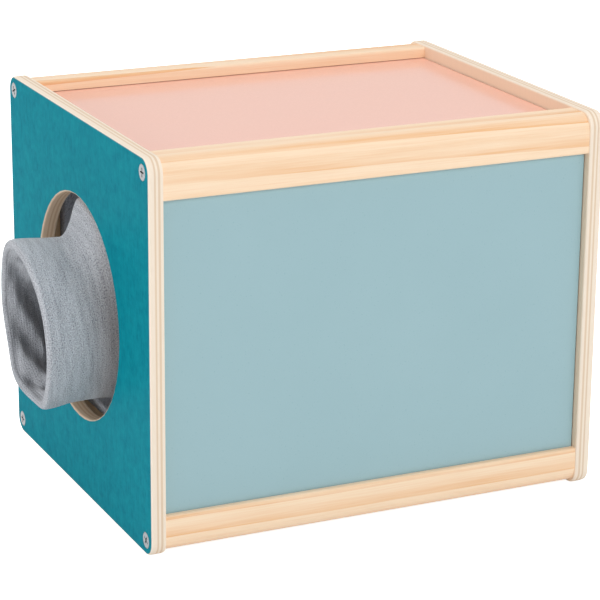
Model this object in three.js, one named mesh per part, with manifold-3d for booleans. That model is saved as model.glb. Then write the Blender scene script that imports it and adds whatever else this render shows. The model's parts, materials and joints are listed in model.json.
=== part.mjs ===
// Feely box: a wooden play box with a soft arm sleeve at each end and a door at the back.
// Millimetres. X runs along the rails, Y from front to back, Z up. The origin is on the table,
// under the middle of the box.
import * as THREE from 'three';
import { mergeVertices } from 'three/addons/utils/BufferGeometryUtils.js';
import Module from 'manifold-3d';

const wasm = await Module();
wasm.setup();

// Plywood ends
const RAIL_LENGTH = 230;
const END_DEPTH = 200;
const END_HEIGHT = 200;
const END_THICKNESS = 8;
const END_CORNER_RADIUS = 8;
const END_EDGE_ROUND = 1;
const ARM_HOLE_DIAMETER = 117;

// Pine rails, set back from the outline of the ends
const RAIL_SECTION = 20;
const RAIL_SETBACK = 1;
const RAIL_OUTER_RADIUS = 9;
const RAIL_EDGE_RADIUS = 1.2;

// Coloured sheets, loose in the grooves of the rails
const SHEET_THICKNESS = 4;
const FRONT_RECESS = 3.5;
const TOP_RECESS = 6;
const GROOVE_DEPTH = 7;
const GROOVE_CLEARANCE = 0.3;
const SHEET_END_GAP = 0.5;

// Back opening: two stiles and an inset door
const STILE_WIDTH = 14;
const DOOR_RECESS = 4;
const DOOR_THICKNESS = 6;
const DOOR_GAP = 1;
const DOOR_CORNER_RADIUS = 2;
const DOOR_EDGE_ROUND = 0.6;
const FINGER_HOLE_DIAMETER = 22;
const FINGER_HOLE_INSET = 34;

// Door hinges
const HINGE_HEIGHT = 30;
const HINGE_INSET = 22;
const LEAF_WIDTH = 12;
const LEAF_THICKNESS = 1;
const LEAF_CORNER_RADIUS = 2;
const KNUCKLE_RADIUS = 2;
const KNUCKLE_GAP = 0.3;
const PIN_RADIUS = 1;
const PIN_CLEARANCE = 0.15;
const PIN_OVERHANG = 0.4;
const HINGE_SCREW_SPACING = 18;

// Magnetic catch
const CATCH_WIDTH = 12;
const CATCH_HEIGHT = 26;
const CATCH_CORNER_RADIUS = 2;
const CATCH_SCREW_SPACING = 16;
const CATCH_FACE_GAP = 0.3;
const MAGNET_RADIUS = 3.5;
const MAGNET_DEPTH = 4;
const STRIKE_RADIUS = 5;
const STRIKE_THICKNESS = 1;
const SEAT_GAP = 0.2;

// Frames that hold the sleeves against the ends
const SLEEVE_FRAME_THICKNESS = 5;
const SLEEVE_FRAME_MARGIN = 2;
const SLEEVE_FRAME_ROOM = 1;
const SLEEVE_FRAME_CORNER = 10;
const CLAMP_THICKNESS = 3;
const CLAMP_SCREW_INSET = 6;

// Jersey sleeves: a skirt held by the frames, and a cuff that pushes in and pulls out
const CLOTH_THICKNESS = 1.5;
const CLOTH_GAP = 0.3;
const SKIRT_FLANGE_INSET = 6;
const SLEEVE_ROOM = 14.5;
const SLEEVE_SAG = 5;
const SLEEVE_LEAN = 4;
const CUFF_REACH = 30;
const CUFF_TILT = 4.2;
const CUFF_SWING = 2.2;
const CUFF_ROOT = 6;
const CUFF_WALL = 4.5;
const CUFF_FOLDS = 7;
const CUFF_FOLD_DEPTH = 2;

// Skirt from the neck to the throat: reach out of the end, room to the hole's radius, share of lean and sag
const SKIRT_BACK = [
  [-19, 0.4, 0], [-27, -0.8, 0.1], [-31.5, 2.5, 0.4],
  [-31, 8.5, 0.8], [-24, 12.4, 1], [-8, 12.7, 1], [2, 12.7, 1],
];
const SKIRT_TOP = [
  [-10, 1.3, 0], [-5.5, 1.5, 0], [-1.2, 2.4, 0.06],
  [1.4, 5.5, 0.3], [4, 9.5, 0.7], [7.4, 12.5, 0.95], [9, 12.7, 1],
];
const SKIRT_FRONT = [
  [-12, 1.6, 0], [-10.6, 2.8, 0.05], [-9, 4.5, 0.2],
  [-6.8, 7.1, 0.45], [-4, 10.3, 0.8], [0, 12.5, 1], [3, 12.7, 1],
];
const RIM_CONTACT = { from: 82, to: 230, fade: 12, sinkFrom: 100, sinkTo: 160 };

// Countersunk screws: radii, length and drive cross
const FRAME_SCREW = { head: 4, shank: 1.75, length: 35, rim: 0.4, cross: 4.6, sides: 16 };
const CLAMP_SCREW = { head: 2.8, shank: 1.25, length: 13, rim: 0.3, cross: 3, sides: 10 };
const HINGE_SCREW = { head: 2.2, shank: 1, length: 6, rim: 0.2, cross: 2.4, sides: 10 };
const CATCH_SCREW = { head: 2.4, shank: 1.1, length: 20, rim: 0.2, cross: 2.4, sides: 10 };
const STRIKE_SCREW = { head: 1.9, shank: 0.9, length: 4.5, rim: 0.2, cross: 2, sides: 10 };
const FRAME_SCREW_INSET = 7.5;
const SCREW_CLEARANCE = 0.2;
const SCREW_CROSS_WIDTH = 0.8;
const SCREW_CROSS_DEPTH = 1;

// Facets
const ARC_STEP = 1.6;
const HOLE_SIDES = 48;
const ROUND_SIDES = 20;
const KNUCKLE_SIDES = 12;
const CLOTH_SIDES = 60;
const CUFF_RINGS = 4;
const LIP_RINGS = 3;
const SQUARENESS = 8;

// Places that several pieces share
const endFace = RAIL_LENGTH / 2;
const outerFace = endFace + END_THICKNESS;
const middleHeight = END_HEIGHT / 2;
const railFace = END_DEPTH / 2 - RAIL_SETBACK;
const railInner = railFace - RAIL_SECTION;
const railRise = END_HEIGHT / 2 - RAIL_SETBACK;
const railInnerRise = railRise - RAIL_SECTION;
const holeRadius = ARM_HOLE_DIAMETER / 2;
const doorFace = railFace - DOOR_RECESS;
const doorBack = doorFace - DOOR_THICKNESS;
const openingHalf = endFace - STILE_WIDTH;
const doorHalfWidth = openingHalf - DOOR_GAP;
const doorHalfHeight = railInnerRise - DOOR_GAP;
const hingeX = openingHalf - DOOR_GAP / 2;
const hingeY = doorFace + KNUCKLE_GAP + KNUCKLE_RADIUS;
const catchFace = doorBack - CATCH_FACE_GAP;

const PINE = { color: 0xf7d9b0, roughness: 0.6, metalness: 0 };
const TEAL_PLY = { color: 0x0a7f8c, roughness: 0.45, metalness: 0 };
const BARE_PLY = { color: 0xe8cfa8, roughness: 0.65, metalness: 0 };
const BLUE_SHEET = { color: 0x9dbfc5, roughness: 0.5, metalness: 0 };
const PEACH_SHEET = { color: 0xf6c9b8, roughness: 0.5, metalness: 0 };
const STEEL = { color: 0xb9bcc0, roughness: 0.3, metalness: 1 };
const DARK_MAGNET = { color: 0x3b3c3f, roughness: 0.5, metalness: 0.6 };
const WHITE_PLASTIC = { color: 0xe9e7e2, roughness: 0.45, metalness: 0 };
const GREY_JERSEY = { color: 0xa6a9b0, roughness: 0.95, metalness: 0 };

const box = new THREE.Group();

function addPart(name, geometry, finish) {
  const mesh = new THREE.Mesh(geometry, new THREE.MeshStandardMaterial(finish));
  mesh.name = name;
  box.add(mesh);
}

// Boolean helpers
function solidOf(geometry) {
  const bare = geometry.clone();
  bare.deleteAttribute('normal');
  bare.deleteAttribute('uv');
  const merged = mergeVertices(bare);
  const index = merged.index.array;
  const triVerts = [];
  for (let i = 0; i < index.length; i += 3) {
    const [a, b, c] = index.slice(i, i + 3);
    if (a !== b && b !== c && c !== a) triVerts.push(a, b, c);
  }
  return new wasm.Manifold(new wasm.Mesh({
    numProp: 3,
    vertProperties: merged.attributes.position.array,
    triVerts: new Uint32Array(triVerts),
  }));
}

function geometryOf(solid) {
  const { vertProperties, triVerts } = solid.getMesh();
  const geometry = new THREE.BufferGeometry();
  geometry.setAttribute('position', new THREE.BufferAttribute(vertProperties, 3));
  geometry.setIndex(new THREE.BufferAttribute(triVerts, 1));
  geometry.computeVertexNormals();
  return geometry;
}

function cut(geometry, cutters) {
  return geometryOf(cutters.reduce((solid, cutter) => solid.subtract(solidOf(cutter)), solidOf(geometry)));
}

function join(geometries) {
  return geometryOf(geometries.map(solidOf).reduce((whole, solid) => whole.add(solid)));
}

// A box from its lowest to its highest corner
function block(low, high) {
  const size = high.map((value, i) => value - low[i]);
  const middle = high.map((value, i) => (value + low[i]) / 2);
  return new THREE.BoxGeometry(...size).translate(...middle);
}

// Points along an arc
function arc(x, y, radius, from, sweep, steps) {
  return Array.from({ length: steps + 1 }, (_, i) => {
    const angle = from + sweep * i / steps;
    return new THREE.Vector2(x + radius * Math.cos(angle), y + radius * Math.sin(angle));
  });
}

// A closed outline with square corners, each given as x, y and its rounding
function roundedOutline(corners) {
  return corners.flatMap(([x, y, radius], i) => {
    const corner = new THREE.Vector2(x, y);
    const back = new THREE.Vector2(...corners.at(i - 1)).sub(corner).normalize();
    const ahead = new THREE.Vector2(...corners[(i + 1) % corners.length]).sub(corner).normalize();
    const centre = back.clone().add(ahead).multiplyScalar(radius).add(corner);
    const sweep = back.cross(ahead) < 0 ? Math.PI / 2 : -Math.PI / 2;
    const steps = Math.ceil(radius * Math.PI / 2 / ARC_STEP);
    return arc(centre.x, centre.y, radius, ahead.negate().angle(), sweep, steps);
  });
}

function roundedRectangle(halfWidth, halfHeight, radius) {
  return roundedOutline([
    [-halfWidth, -halfHeight, radius],
    [halfWidth, -halfHeight, radius],
    [halfWidth, halfHeight, radius],
    [-halfWidth, halfHeight, radius],
  ]);
}

function circle(radius, x, y, steps) {
  return arc(x, y, radius, 0, 2 * Math.PI, steps).slice(1);
}

// Extrusions: the outline's x and y lie along two axes and its depth along the third
const ALONG_X = new THREE.Matrix4().set(0, 0, 1, 0, 1, 0, 0, 0, 0, 1, 0, 0, 0, 0, 0, 1);
const ALONG_BACK_Y = new THREE.Matrix4().set(1, 0, 0, 0, 0, 0, -1, 0, 0, 1, 0, 0, 0, 0, 0, 1);

function extrude(outline, depth, { hole, edgeRound = 0 } = {}) {
  const shape = new THREE.Shape(outline);
  if (hole) shape.holes.push(new THREE.Path(hole));
  return new THREE.ExtrudeGeometry(shape, {
    depth: depth - 2 * edgeRound,
    bevelEnabled: edgeRound > 0,
    bevelThickness: edgeRound,
    bevelSize: edgeRound,
    bevelOffset: -edgeRound,
    bevelSegments: 2,
  }).translate(0, 0, edgeRound);
}

// Screws: turned about Y with the head's flat on top, then pointed along a direction
function screwProfile({ head, shank, length, rim }, clearance, top) {
  const cone = head - shank;
  return [
    [0, -length - clearance],
    [shank + clearance, -length + shank],
    [shank + clearance, -rim - cone],
    [head + clearance, -rim],
    [head + clearance, top],
    [0, top],
  ].map(([radius, height]) => new THREE.Vector2(radius, height));
}

function pointed(geometry, screw) {
  const down = new THREE.Vector3(0, -1, 0);
  const turn = new THREE.Quaternion().setFromUnitVectors(down, screw.direction);
  return geometry.rotateY(screw.spin).applyQuaternion(turn).translate(...screw.position);
}

function screwBody(screw) {
  const { size } = screw;
  const half = size.cross / 2;
  const arm = SCREW_CROSS_WIDTH / 2;
  const body = new THREE.LatheGeometry(screwProfile(size, 0, 0), size.sides);
  const cross = [
    block([-half, -SCREW_CROSS_DEPTH, -arm], [half, size.head, arm]),
    block([-arm, -SCREW_CROSS_DEPTH, -half], [arm, size.head, half]),
  ];
  return pointed(cut(body, cross), screw);
}

function screwHole(screw) {
  const { size } = screw;
  return pointed(new THREE.LatheGeometry(screwProfile(size, SCREW_CLEARANCE, size.head), size.sides), screw);
}

// Screws that hold the ends on the rails, one into each end of each rail
const ENDS = [{ name: 'left', side: -1 }, { name: 'right', side: 1 }];
const DEPTHS = [{ name: 'front', way: -1 }, { name: 'back', way: 1 }];
const LEVELS = [{ name: 'top', way: 1 }, { name: 'bottom', way: -1 }];
const frameScrews = [];
for (const end of ENDS) {
  for (const depth of DEPTHS) {
    for (const level of LEVELS) {
      frameScrews.push({
        name: `frame_screw_${end.name}_${depth.name}_${level.name}`,
        size: FRAME_SCREW,
        end,
        direction: new THREE.Vector3(-end.side, 0, 0),
        position: [
          end.side * outerFace,
          depth.way * (END_DEPTH / 2 - FRAME_SCREW_INSET),
          middleHeight + level.way * (END_HEIGHT / 2 - FRAME_SCREW_INSET),
        ],
        spin: frameScrews.length,
      });
    }
  }
}

// Frames and clamps behind the ends, with a screw at each corner
const frameHalfDepth = railInner - SLEEVE_FRAME_ROOM;
const frameHalfHeight = railInnerRise - SLEEVE_FRAME_ROOM;
const frameOpening = holeRadius + SLEEVE_FRAME_MARGIN;
const flangeReach = END_THICKNESS + SLEEVE_FRAME_THICKNESS + CLOTH_GAP;
const clampReach = flangeReach + CLOTH_THICKNESS + CLOTH_GAP;
const clampScrews = [];
for (const end of ENDS) {
  for (const depth of DEPTHS) {
    for (const level of LEVELS) {
      clampScrews.push({
        name: `clamp_screw_${end.name}_${depth.name}_${level.name}`,
        size: CLAMP_SCREW,
        end,
        direction: new THREE.Vector3(end.side, 0, 0),
        position: [
          end.side * (outerFace - clampReach - CLAMP_THICKNESS),
          depth.way * (frameHalfDepth - CLAMP_SCREW_INSET),
          middleHeight + level.way * (frameHalfHeight - CLAMP_SCREW_INSET),
        ],
        spin: clampScrews.length,
      });
    }
  }
}

function onEnd(screws, end) {
  return screws.filter((screw) => screw.end === end).map(screwHole);
}

// Plywood end with its round arm hole and countersunk screw holes
function endPanel(end) {
  const outline = roundedRectangle(END_DEPTH / 2, END_HEIGHT / 2, END_CORNER_RADIUS);
  const hole = circle(holeRadius, 0, 0, HOLE_SIDES);
  const low = end.side > 0 ? endFace : -outerFace;
  const panel = extrude(outline, END_THICKNESS, { hole, edgeRound: END_EDGE_ROUND })
    .applyMatrix4(ALONG_X)
    .translate(low, 0, middleHeight);
  return cut(panel, [...onEnd(frameScrews, end), ...onEnd(clampScrews, end)]);
}

// Pine rail: rounded along the outer edge, grooved for the sheets that it holds
function rail(depth, level) {
  const across = (inset) => depth.way * (railFace - inset);
  const up = (inset) => middleHeight + level.way * (railRise - inset);
  const outline = roundedOutline([
    [across(0), up(0), RAIL_OUTER_RADIUS],
    [across(RAIL_SECTION), up(0), RAIL_EDGE_RADIUS],
    [across(RAIL_SECTION), up(RAIL_SECTION), RAIL_EDGE_RADIUS],
    [across(0), up(RAIL_SECTION), RAIL_EDGE_RADIUS],
  ]);
  const bar = extrude(outline, RAIL_LENGTH).applyMatrix4(ALONG_X).translate(-endFace, 0, 0);
  const groove = (insets, rises) => {
    const y = insets.map(across).sort((a, b) => a - b);
    const z = rises.map(up).sort((a, b) => a - b);
    return block([-outerFace, y[0], z[0]], [outerFace, y[1], z[1]]);
  };
  const pastFace = RAIL_SECTION + GROOVE_DEPTH;
  const floor = RAIL_SECTION - GROOVE_DEPTH;
  const slot = (recess) => [recess - GROOVE_CLEARANCE, recess + SHEET_THICKNESS + GROOVE_CLEARANCE];
  const grooves = [groove([floor, pastFace], slot(TOP_RECESS))];
  if (depth.name === 'front') {
    grooves.push(groove(slot(FRONT_RECESS), [floor, pastFace]));
  }
  return cut(bar, [...grooves, ...frameScrews.map(screwHole)]);
}

// Sheets: the front one stands in the front rails, the top and bottom ones lie between front and back
const sheetHalfLength = endFace - SHEET_END_GAP;
const sheetEdge = GROOVE_DEPTH - GROOVE_CLEARANCE;

function frontSheet() {
  const face = -railFace + FRONT_RECESS;
  const halfHeight = railInnerRise + sheetEdge;
  return block(
    [-sheetHalfLength, face, middleHeight - halfHeight],
    [sheetHalfLength, face + SHEET_THICKNESS, middleHeight + halfHeight],
  );
}

function levelSheet(level) {
  const outer = railRise - TOP_RECESS;
  const rises = [outer, outer - SHEET_THICKNESS];
  const z = rises.map((rise) => middleHeight + level.way * rise).sort((a, b) => a - b);
  const halfDepth = railInner + sheetEdge;
  return block([-sheetHalfLength, -halfDepth, z[0]], [sheetHalfLength, halfDepth, z[1]]);
}

// Wooden frame behind an end: a square ring as wide as the space between the rails
function sleeveFrame(end, reach, thickness) {
  const outline = roundedRectangle(frameHalfDepth, frameHalfHeight, END_EDGE_ROUND);
  const hole = roundedRectangle(frameOpening, frameOpening, SLEEVE_FRAME_CORNER);
  const near = end.side * (outerFace - reach);
  const low = end.side > 0 ? near - thickness : near;
  const frame = extrude(outline, thickness, { hole }).applyMatrix4(ALONG_X).translate(low, 0, middleHeight);
  return cut(frame, onEnd(clampScrews, end));
}

// Cloth: closed bands of rings, each ring a list of points round the sleeve
function band(rings, side) {
  const count = CLOTH_SIDES;
  const position = rings.flat().flatMap((point) => point.toArray());
  const index = [];
  rings.forEach((_, i) => {
    const here = i * count;
    const next = ((i + 1) % rings.length) * count;
    for (let j = 0; j < count; j += 1) {
      const k = (j + 1) % count;
      const quad = [here + j, here + k, next + k, here + j, next + k, next + j];
      index.push(...(side > 0 ? quad : quad.reverse()));
    }
  });
  const geometry = new THREE.BufferGeometry();
  geometry.setAttribute('position', new THREE.Float32BufferAttribute(position, 3));
  geometry.setIndex(index);
  geometry.computeVertexNormals();
  return geometry;
}

const clothAngles = Array.from({ length: CLOTH_SIDES }, (_, j) => j * 2 * Math.PI / CLOTH_SIDES);

// A point of the cloth: its reach out of the end, its radius, and its share of the lean and sag
function clothPoint(side, angle, { reach, radius, share }) {
  return new THREE.Vector3(
    side * (outerFace + reach),
    radius * Math.cos(angle) - share * SLEEVE_LEAN,
    middleHeight + radius * Math.sin(angle) - share * SLEEVE_SAG,
  );
}

function squared(half) {
  return (angle) => half / (Math.abs(Math.cos(angle)) ** SQUARENESS
    + Math.abs(Math.sin(angle)) ** SQUARENESS) ** (1 / SQUARENESS);
}

const cuffRadius = holeRadius - SLEEVE_ROOM;

// Skirt at one angle: at the top and front the cloth lies against the rim, at the back it makes a pocket
function skirtProfile(angle, flangeHalf, neckHalf) {
  const turn = THREE.MathUtils.radToDeg(angle);
  const { from, to, fade, sinkFrom, sinkTo } = RIM_CONTACT;
  const onRim = THREE.MathUtils.smoothstep(turn, from, from + fade)
    * (1 - THREE.MathUtils.smoothstep(turn, to - fade, to));
  const sunk = THREE.MathUtils.smoothstep(turn, sinkFrom, sinkTo);
  const mix = (a, b, share) => a.map((value, i) => THREE.MathUtils.lerp(value, b[i], share));
  const free = SKIRT_BACK.map((back, i) => mix(back, mix(SKIRT_TOP[i], SKIRT_FRONT[i], sunk), onRim));
  return [
    { reach: -flangeReach, radius: squared(flangeHalf)(angle), share: 0 },
    { reach: -flangeReach, radius: squared(neckHalf)(angle), share: 0 },
    ...free.map(([reach, room, share]) => ({ reach, radius: holeRadius - room, share })),
  ];
}

// The other face of the cloth, square to the profile
function clothBack(profile) {
  return profile.map((station, i) => {
    const before = profile[Math.max(i - 1, 0)];
    const after = profile[Math.min(i + 1, profile.length - 1)];
    const along = new THREE.Vector2(after.reach - before.reach, after.radius - before.radius).normalize();
    return {
      reach: station.reach + along.y * CLOTH_THICKNESS,
      radius: station.radius - along.x * CLOTH_THICKNESS,
      share: station.share,
    };
  });
}

// Skirt: flat flange under the clamp, then the cloth that leads through the hole to the throat
function sleeveSkirt(side) {
  const flangeHalf = Math.min(frameHalfDepth, frameHalfHeight) - SKIRT_FLANGE_INSET;
  const neckHalf = frameOpening - CLOTH_THICKNESS - 2 * CLOTH_GAP;
  const profiles = clothAngles.map((angle) => skirtProfile(angle, flangeHalf, neckHalf));
  const backs = profiles.map(clothBack);
  const rings = (columns) => columns[0].map((_, i) => columns.map((column, j) => clothPoint(
    side,
    clothAngles[j],
    column[i],
  )));
  return band([...rings(profiles), ...rings(backs).reverse()], side);
}

// Cuff: a doubled tube with a soft rounded lip, tilted at the mouth and folded a little inwards
function sleeveCuff(side) {
  const lipHalf = CUFF_WALL / 2;
  const mouth = (angle) => CUFF_REACH + CUFF_TILT * Math.sin(angle) - CUFF_SWING * Math.cos(angle);
  const fold = (angle) => CUFF_FOLD_DEPTH * (1 + Math.sin(CUFF_FOLDS * angle)) / 2;
  const ring = (reachAt, radiusAt) => clothAngles.map((angle) => clothPoint(
    side,
    angle,
    { reach: reachAt(angle), radius: radiusAt(angle), share: 1 },
  ));
  const reachAt = (share) => (angle) => -CUFF_ROOT + share * (mouth(angle) - lipHalf + CUFF_ROOT);
  const shares = Array.from({ length: CUFF_RINGS + 1 }, (_, i) => i / CUFF_RINGS);
  const turns = Array.from({ length: LIP_RINGS }, (_, i) => (i + 1) * Math.PI / (LIP_RINGS + 1));
  const outer = shares.map((share) => ring(reachAt(share), () => cuffRadius));
  const lip = turns.map((turn) => ring(
    (angle) => mouth(angle) - lipHalf + lipHalf * Math.sin(turn),
    () => cuffRadius - lipHalf + lipHalf * Math.cos(turn),
  ));
  const inner = shares.map((share) => ring(
    reachAt(share),
    (angle) => cuffRadius - CUFF_WALL - fold(angle) * Math.sin(Math.PI * share),
  )).reverse();
  return band([...outer, ...lip, ...inner], side);
}

// Stiles between the back rails, beside the door
function stile(side) {
  const x = [side * endFace, side * openingHalf].sort((a, b) => a - b);
  const outline = roundedOutline([
    [x[0], railInner, RAIL_EDGE_RADIUS],
    [x[1], railInner, RAIL_EDGE_RADIUS],
    [x[1], doorFace, RAIL_EDGE_RADIUS],
    [x[0], doorFace, RAIL_EDGE_RADIUS],
  ]);
  const bar = extrude(outline, 2 * railInnerRise).translate(0, 0, middleHeight - railInnerRise);
  return cut(bar, [...hingeScrews, ...catchScrews].map(screwHole));
}

// Two hinges at the right of the door, with two screws in each leaf
const HINGES = [
  { name: 'upper', low: middleHeight + doorHalfHeight - HINGE_INSET - HINGE_HEIGHT },
  { name: 'lower', low: middleHeight - doorHalfHeight + HINGE_INSET },
];
const LEAVES = [{ name: 'stile', side: 1 }, { name: 'door', side: -1 }];
const leafFace = doorFace + LEAF_THICKNESS;
const leafScrewReach = (KNUCKLE_RADIUS + KNUCKLE_GAP + LEAF_WIDTH) / 2;
const hingeScrews = [];
for (const hinge of HINGES) {
  for (const leaf of LEAVES) {
    for (const level of LEVELS) {
      hingeScrews.push({
        name: `hinge_screw_${hinge.name}_${leaf.name}_${level.name}`,
        size: HINGE_SCREW,
        direction: new THREE.Vector3(0, -1, 0),
        position: [
          hingeX + leaf.side * leafScrewReach,
          leafFace,
          hinge.low + HINGE_HEIGHT / 2 + level.way * HINGE_SCREW_SPACING / 2,
        ],
        spin: hingeScrews.length,
      });
    }
  }
}

function hingeLeaf(hinge, leaf) {
  const start = KNUCKLE_RADIUS + KNUCKLE_GAP;
  const x = [hingeX + leaf.side * start, hingeX + leaf.side * LEAF_WIDTH].sort((a, b) => a - b);
  const high = hinge.low + HINGE_HEIGHT;
  const plate = extrude(roundedOutline([
    [x[0], hinge.low, LEAF_CORNER_RADIUS],
    [x[1], hinge.low, LEAF_CORNER_RADIUS],
    [x[1], high, LEAF_CORNER_RADIUS],
    [x[0], high, LEAF_CORNER_RADIUS],
  ]), LEAF_THICKNESS).applyMatrix4(ALONG_BACK_Y).translate(0, leafFace, 0);
  const third = HINGE_HEIGHT / 3;
  const spans = leaf.name === 'stile' ? [[0, third], [2 * third, HINGE_HEIGHT]] : [[third, 2 * third]];
  const knuckles = spans.flatMap(([from, to]) => {
    const low = hinge.low + from + (from > 0 ? KNUCKLE_GAP / 2 : 0);
    const top = hinge.low + to - (to < HINGE_HEIGHT ? KNUCKLE_GAP / 2 : 0);
    const tabX = [hingeX, hingeX + leaf.side * (start + LEAF_CORNER_RADIUS)].sort((a, b) => a - b);
    const barrel = extrude(circle(KNUCKLE_RADIUS, hingeX, hingeY, KNUCKLE_SIDES), top - low)
      .translate(0, 0, low);
    return [barrel, block([tabX[0], doorFace, low], [tabX[1], leafFace, top])];
  });
  const bore = hingeRod(hinge, PIN_RADIUS + PIN_CLEARANCE, 2 * HINGE_HEIGHT);
  return cut(join([plate, ...knuckles]), [bore, ...hingeScrews.map(screwHole)]);
}

function hingeRod(hinge, radius, length) {
  return new THREE.CylinderGeometry(radius, radius, length, KNUCKLE_SIDES)
    .rotateX(Math.PI / 2)
    .translate(hingeX, hingeY, hinge.low + HINGE_HEIGHT / 2);
}

// Catch on the left stile: a block that the door closes against, its magnet, and the strike on the door
const catchX = -openingHalf + CATCH_WIDTH / 2;
const catchScrews = LEVELS.map((level, i) => ({
  name: `catch_screw_${level.name}`,
  size: CATCH_SCREW,
  direction: new THREE.Vector3(-1, 0, 0),
  position: [
    -openingHalf + CATCH_WIDTH,
    (railInner + catchFace) / 2,
    middleHeight + level.way * CATCH_SCREW_SPACING / 2,
  ],
  spin: i,
}));
const strikeScrew = {
  name: 'strike_screw',
  size: STRIKE_SCREW,
  direction: new THREE.Vector3(0, 1, 0),
  position: [catchX, doorBack, middleHeight],
  spin: 0,
};

function disc(radius, x, yLow, yHigh, z) {
  return new THREE.CylinderGeometry(radius, radius, yHigh - yLow, ROUND_SIDES)
    .translate(x, (yLow + yHigh) / 2, z);
}

function catchBlock() {
  const halfHeight = CATCH_HEIGHT / 2;
  const outline = roundedOutline([
    [-openingHalf, middleHeight - halfHeight, CATCH_CORNER_RADIUS],
    [-openingHalf + CATCH_WIDTH, middleHeight - halfHeight, CATCH_CORNER_RADIUS],
    [-openingHalf + CATCH_WIDTH, middleHeight + halfHeight, CATCH_CORNER_RADIUS],
    [-openingHalf, middleHeight + halfHeight, CATCH_CORNER_RADIUS],
  ]);
  const body = extrude(outline, catchFace - railInner).applyMatrix4(ALONG_BACK_Y).translate(0, catchFace, 0);
  const pocketFloor = catchFace - MAGNET_DEPTH - SEAT_GAP;
  const pocket = disc(MAGNET_RADIUS + SEAT_GAP, catchX, pocketFloor, doorFace, middleHeight);
  return cut(body, [pocket, ...catchScrews.map(screwHole)]);
}

function magnet() {
  return disc(MAGNET_RADIUS, catchX, catchFace - MAGNET_DEPTH, catchFace, middleHeight);
}

function strikePlate() {
  const plate = disc(STRIKE_RADIUS, catchX, doorBack, doorBack + STRIKE_THICKNESS, middleHeight);
  return cut(plate, [screwHole(strikeScrew)]);
}

// Door: an inset plywood panel with a finger hole near its free edge
function door() {
  const outline = roundedRectangle(doorHalfWidth, doorHalfHeight, DOOR_CORNER_RADIUS);
  const hole = circle(FINGER_HOLE_DIAMETER / 2, -doorHalfWidth + FINGER_HOLE_INSET, 0, ROUND_SIDES);
  const panel = extrude(outline, DOOR_THICKNESS, { hole, edgeRound: DOOR_EDGE_ROUND })
    .applyMatrix4(ALONG_BACK_Y)
    .translate(0, doorFace, middleHeight);
  const strikeSeat = disc(
    STRIKE_RADIUS + SEAT_GAP,
    catchX,
    catchFace,
    doorBack + STRIKE_THICKNESS + SEAT_GAP,
    middleHeight,
  );
  return cut(panel, [strikeSeat, screwHole(strikeScrew), ...hingeScrews.map(screwHole)]);
}

// Assembly
for (const end of ENDS) {
  addPart(`end_panel_${end.name}`, endPanel(end), TEAL_PLY);
  addPart(`sleeve_frame_${end.name}`, sleeveFrame(end, END_THICKNESS, SLEEVE_FRAME_THICKNESS), BARE_PLY);
  addPart(`sleeve_clamp_${end.name}`, sleeveFrame(end, clampReach, CLAMP_THICKNESS), BARE_PLY);
  addPart(`sleeve_skirt_${end.name}`, sleeveSkirt(end.side), GREY_JERSEY);
  addPart(`sleeve_cuff_${end.name}`, sleeveCuff(end.side), GREY_JERSEY);
  addPart(`back_stile_${end.name}`, stile(end.side), PINE);
}
for (const depth of DEPTHS) {
  for (const level of LEVELS) {
    addPart(`rail_${depth.name}_${level.name}`, rail(depth, level), PINE);
  }
}
addPart('front_panel', frontSheet(), BLUE_SHEET);
for (const level of LEVELS) {
  addPart(`${level.name}_panel`, levelSheet(level), PEACH_SHEET);
}
addPart('door', door(), BLUE_SHEET);
for (const hinge of HINGES) {
  for (const leaf of LEAVES) {
    addPart(`hinge_${hinge.name}_${leaf.name}_leaf`, hingeLeaf(hinge, leaf), STEEL);
  }
  addPart(`hinge_${hinge.name}_pin`, hingeRod(hinge, PIN_RADIUS, HINGE_HEIGHT + 2 * PIN_OVERHANG), STEEL);
}
addPart('catch_block', catchBlock(), WHITE_PLASTIC);
addPart('catch_magnet', magnet(), DARK_MAGNET);
addPart('strike_plate', strikePlate(), STEEL);
for (const screw of [...frameScrews, ...clampScrews, ...hingeScrews, ...catchScrews, strikeScrew]) {
  addPart(screw.name, screwBody(screw), STEEL);
}

export default box;
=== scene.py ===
"""Looks of a wooden feely box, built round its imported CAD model.

Plywood ends stained teal, pine rails, painted sheets, a jersey sleeve at each end and a door at the back.
Metres, in the frame of the CAD model: X along the rails, Y from front to back, Z up.
"""

import json
import logging
import math
from dataclasses import dataclass
from enum import Enum

import bpy
from mathutils import Matrix, Vector, noise

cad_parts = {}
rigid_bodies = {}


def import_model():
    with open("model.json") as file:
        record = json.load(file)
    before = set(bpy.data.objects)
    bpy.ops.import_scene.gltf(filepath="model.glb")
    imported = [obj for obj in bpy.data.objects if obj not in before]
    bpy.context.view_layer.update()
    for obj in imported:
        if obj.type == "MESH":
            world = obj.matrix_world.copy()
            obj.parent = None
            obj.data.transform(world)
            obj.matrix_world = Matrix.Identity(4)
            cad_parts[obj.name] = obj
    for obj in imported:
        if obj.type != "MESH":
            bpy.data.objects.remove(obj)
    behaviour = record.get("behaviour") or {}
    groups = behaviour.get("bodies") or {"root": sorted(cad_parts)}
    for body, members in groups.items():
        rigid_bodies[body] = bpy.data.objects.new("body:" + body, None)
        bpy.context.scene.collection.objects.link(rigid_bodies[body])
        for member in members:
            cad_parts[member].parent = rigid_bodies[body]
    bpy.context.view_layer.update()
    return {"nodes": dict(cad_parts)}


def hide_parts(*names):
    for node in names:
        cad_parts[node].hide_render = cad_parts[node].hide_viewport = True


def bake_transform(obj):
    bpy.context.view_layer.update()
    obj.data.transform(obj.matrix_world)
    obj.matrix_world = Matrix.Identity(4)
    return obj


LOG = logging.getLogger("feely_box")
MM = 0.001
# Nearly all values of a noise texture lie between these two
NOISE_LOW = 0.3
NOISE_HIGH = 0.7

Colour = tuple[float, float, float, float]
Socket = bpy.types.NodeSocket
Point = tuple[float, float, float]


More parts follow.
